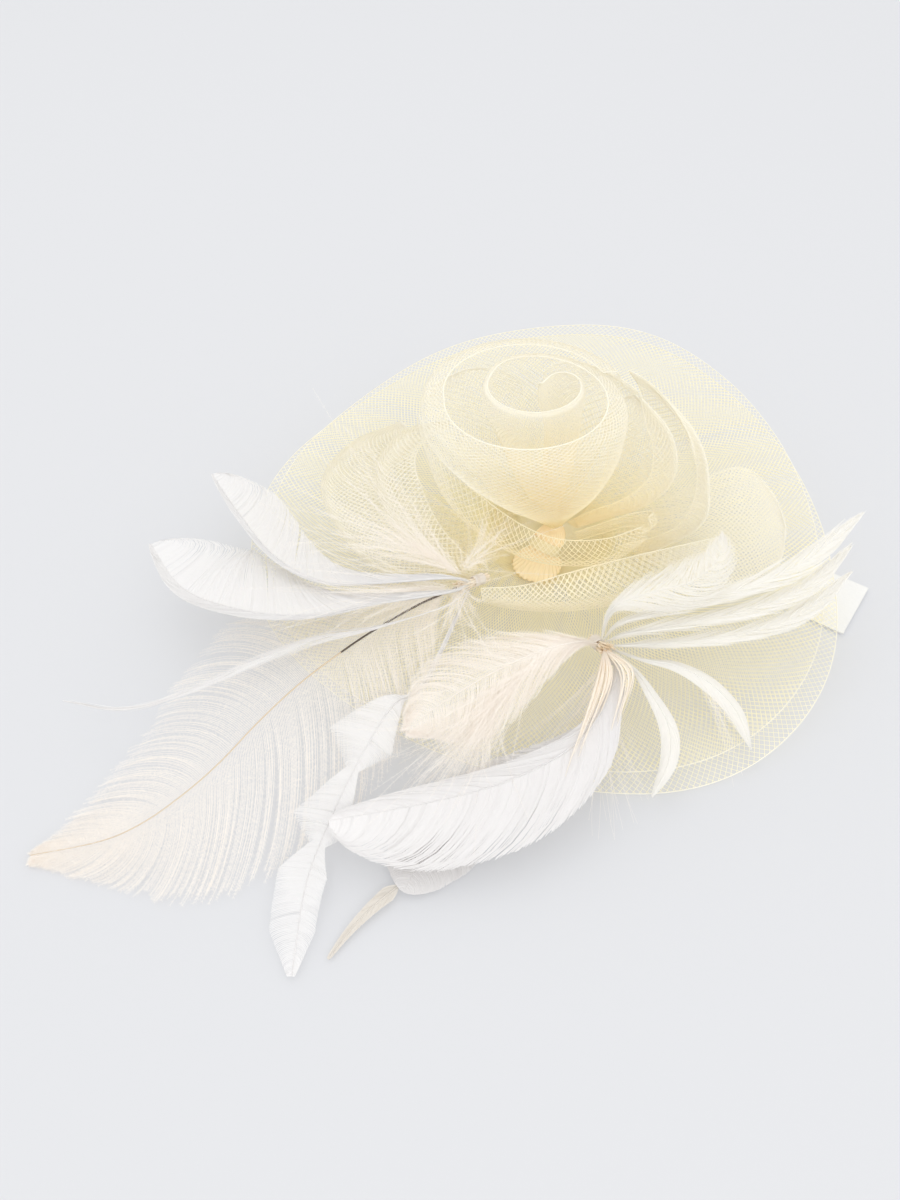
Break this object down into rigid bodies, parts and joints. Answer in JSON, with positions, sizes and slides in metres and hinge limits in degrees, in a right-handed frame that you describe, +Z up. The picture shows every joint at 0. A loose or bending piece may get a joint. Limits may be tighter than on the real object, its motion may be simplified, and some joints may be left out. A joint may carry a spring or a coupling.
{
  "type": "fascinator headpiece",
  "caption": "Cream fascinator: a shallow crin net brim with a rolled crin rose and net loops, a side spray of ostrich, goose and hackle feathers, and a clip and brooch underneath",
  "frame": {"origin": "centre of the overall box in plan, on the surface that the headpiece lies on", "axes": "+Z up, +X towards the right of the headpiece seen from its front, +Y towards the raised back of the brim"},
  "size_m": [0.3923, 0.3732, 0.1105],
  "materials": {
    "crin_net": "woven horsehair net, soft sheen",
    "white_feather": "satin feather vane",
    "cream_feather": "soft downy feather",
    "felt": "pressed felt",
    "buckram": "stiffened cloth",
    "steel": "satin nickel",
    "card": "uncoated white card",
    "nylon": "clear nylon"
  },
  "bodies": {
    "headpiece": {"base_disc": "buckram", "biot_front": "white_feather", "biot_right": "white_feather", "blade_feather": "cream_feather", "brim_lower": "crin_net", "brim_upper": "crin_net", "brooch_bar": "steel", "brooch_rivet": "steel", "clip_base": "steel", "clip_pin": "steel", "curled_plume": "white_feather", "diamond_feather": "white_feather", "feather_tie_left": "cream_feather", "feather_tie_right": "cream_feather", "felt_pad": "felt", "flower_knot": "crin_net", "goose_left_lower": "white_feather", "goose_left_upper": "white_feather", "hackle_right_lower": "white_feather", "hackle_right_middle": "white_feather", "hackle_right_upper": "white_feather", "hair_spray": "cream_feather", "hen_plume": "cream_feather", "marabou_tuft": "cream_feather", "ostrich_plume": "cream_feather", "petal_back_left": "crin_net", "petal_back_right": "crin_net", "petal_front": "crin_net", "petal_left_inner": "crin_net", "petal_left_outer": "crin_net", "petal_low_right": "crin_net", "petal_right_inner": "crin_net", "petal_right_outer": "crin_net", "rose_heart": "crin_net", "rose_outer": "crin_net", "rose_roll": "crin_net", "sash_loop": "crin_net", "sash_return": "crin_net", "satin_lower": "white_feather", "satin_under": "white_feather", "satin_upper": "white_feather", "swing_tag": "card", "tag_fastener": "nylon", "whisker_hackle": "white_feather"},
    "clip_jaw": {"clip_lever": "steel", "clip_spring": "steel"},
    "brooch_needle": {"brooch_pin": "steel"},
    "brooch_catch": {"catch_roller": "steel"}
  },
  "joints": [
    {"name": "clip_hinge", "type": "hinge", "parent": "headpiece", "child": "clip_jaw", "pos_m": [0.01815, 0.0496, 0.0116], "axis": [0, 1, 0], "range_deg": [0, 35], "stiffness_Nm_per_rad": 0.12, "springref_deg": -34.38},
    {"name": "brooch_hinge", "type": "hinge", "parent": "headpiece", "child": "brooch_needle", "pos_m": [0.04415, 0.0196, 0.0134], "axis": [0, -1, 0], "range_deg": [0, 75]},
    {"name": "catch_turn", "type": "hinge", "parent": "headpiece", "child": "brooch_catch", "pos_m": [0.01315, 0.0196, 0.0134], "axis": [-1, 0, 0], "range_deg": [0, 110]}
  ]
}
